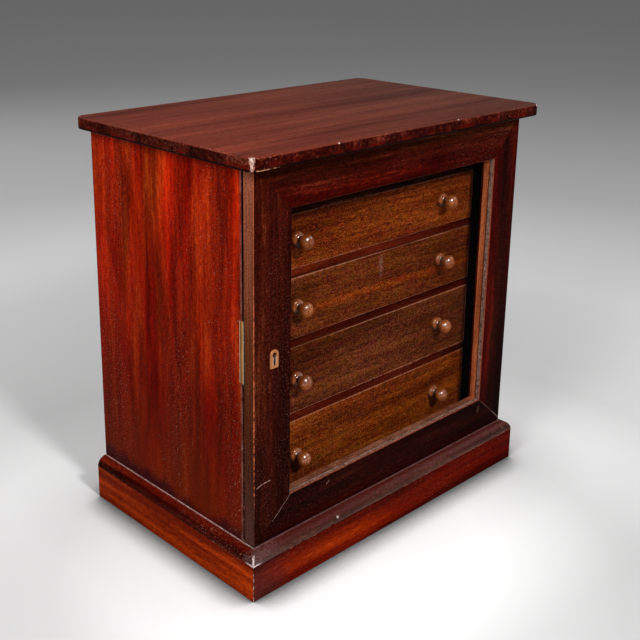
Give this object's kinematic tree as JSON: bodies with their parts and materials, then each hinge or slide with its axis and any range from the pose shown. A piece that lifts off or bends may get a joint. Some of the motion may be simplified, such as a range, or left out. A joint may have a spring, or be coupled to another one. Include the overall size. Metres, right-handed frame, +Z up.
{
  "type": "specimen collector cabinet",
  "caption": "Table-top specimen cabinet with a stack of drawers behind one glazed, locking door, an overhanging top and a moulded plinth.",
  "frame": {"origin": "centre of the overall outline in plan, on the surface that the plinth stands on", "axes": "+Z up, -Y towards the front with the door, +X to the viewer's right, where the door is hinged"},
  "size_m": [0.433, 0.276, 0.44],
  "materials": {
    "top_wood": "polished mahogany, long grain",
    "case_wood": "polished mahogany, ribbon grain",
    "plinth_wood": "polished mahogany",
    "door_wood": "dark polished mahogany",
    "drawer_front_wood": "polished golden-brown hardwood",
    "drawer_lining_wood": "plain planed hardwood",
    "divider_wood": "polished red mahogany",
    "inner_wood": "unpolished secondary wood",
    "ebonised_wood": "ebonised, low sheen",
    "knob_wood": "turned and polished hardwood",
    "brass": "worn brass",
    "steel": "plain steel",
    "glass": "clear thin pane"
  },
  "bodies": {
    "case": {"top_board": "top_wood", "side_left": "case_wood", "side_right": "case_wood", "frieze_rail": "case_wood", "inner_top": "inner_wood", "bottom_board": "inner_wood", "back_panel": "inner_wood", "drawer_runners": "inner_wood", "drawer_stops": "inner_wood", "plinth_blocks": "inner_wood", "plinth_back": "inner_wood", "lining_left": "ebonised_wood", "lining_right": "ebonised_wood", "divider_rail_1": "divider_wood", "divider_rail_2": "divider_wood", "divider_rail_3": "divider_wood", "plinth_front": "plinth_wood", "plinth_left": "plinth_wood", "plinth_right": "plinth_wood", "plinth_moulding_front": "plinth_wood", "plinth_moulding_left": "plinth_wood", "plinth_moulding_right": "plinth_wood", "link_plate": "brass", "link_screws": "brass", "case_hinge_leaves": "brass", "hinge_pins": "brass", "case_hinge_screws": "brass", "back_screws": "steel", "top_screws": "steel"},
    "door": {"door_lock_stile": "door_wood", "door_hinge_stile": "door_wood", "door_top_rail": "door_wood", "door_bottom_rail": "door_wood", "glazing_beads": "door_wood", "glass_pane": "glass", "escutcheon": "brass", "door_hinge_leaves": "brass", "door_hinge_screws": "brass", "lock_case": "steel", "lock_plate": "steel", "lock_pin": "steel", "lock_spring": "steel", "lock_screws": "steel"},
    "lock_bolt": {"lock_bolt": "steel"},
    "drawer_1": {"drawer_1_front": "drawer_front_wood", "drawer_1_box": "drawer_lining_wood", "drawer_1_bottom": "drawer_lining_wood", "drawer_1_knobs": "knob_wood"},
    "drawer_2": {"drawer_2_front": "drawer_front_wood", "drawer_2_box": "drawer_lining_wood", "drawer_2_bottom": "drawer_lining_wood", "drawer_2_knobs": "knob_wood"},
    "drawer_3": {"drawer_3_front": "drawer_front_wood", "drawer_3_box": "drawer_lining_wood", "drawer_3_bottom": "drawer_lining_wood", "drawer_3_knobs": "knob_wood"},
    "drawer_4": {"drawer_4_front": "drawer_front_wood", "drawer_4_box": "drawer_lining_wood", "drawer_4_bottom": "drawer_lining_wood", "drawer_4_knobs": "knob_wood"}
  },
  "joints": [
    {"name": "door_hinge", "type": "hinge", "parent": "case", "child": "door", "pos_m": [0.2025, -0.10725, 0.2386], "axis": [0, 0, 1], "range_deg": [0, 180]},
    {"name": "lock_throw", "type": "slide", "parent": "door", "child": "lock_bolt", "axis": [0, 0, 1], "range_m": [0, 0.006]},
    {"name": "drawer_1_slide", "type": "slide", "parent": "case", "child": "drawer_1", "axis": [0, -1, 0], "range_m": [0, 0.16]},
    {"name": "drawer_2_slide", "type": "slide", "parent": "case", "child": "drawer_2", "axis": [0, -1, 0], "range_m": [0, 0.16]},
    {"name": "drawer_3_slide", "type": "slide", "parent": "case", "child": "drawer_3", "axis": [0, -1, 0], "range_m": [0, 0.16]},
    {"name": "drawer_4_slide", "type": "slide", "parent": "case", "child": "drawer_4", "axis": [0, -1, 0], "range_m": [0, 0.16]}
  ],
  "couplings": [
    {"joint": "drawer_1_slide", "follows": "door_hinge", "m_per_rad": 0.050925},
    {"joint": "drawer_2_slide", "follows": "door_hinge", "m_per_rad": 0.050925},
    {"joint": "drawer_3_slide", "follows": "door_hinge", "m_per_rad": 0.050925},
    {"joint": "drawer_4_slide", "follows": "door_hinge", "m_per_rad": 0.050925}
  ]
}
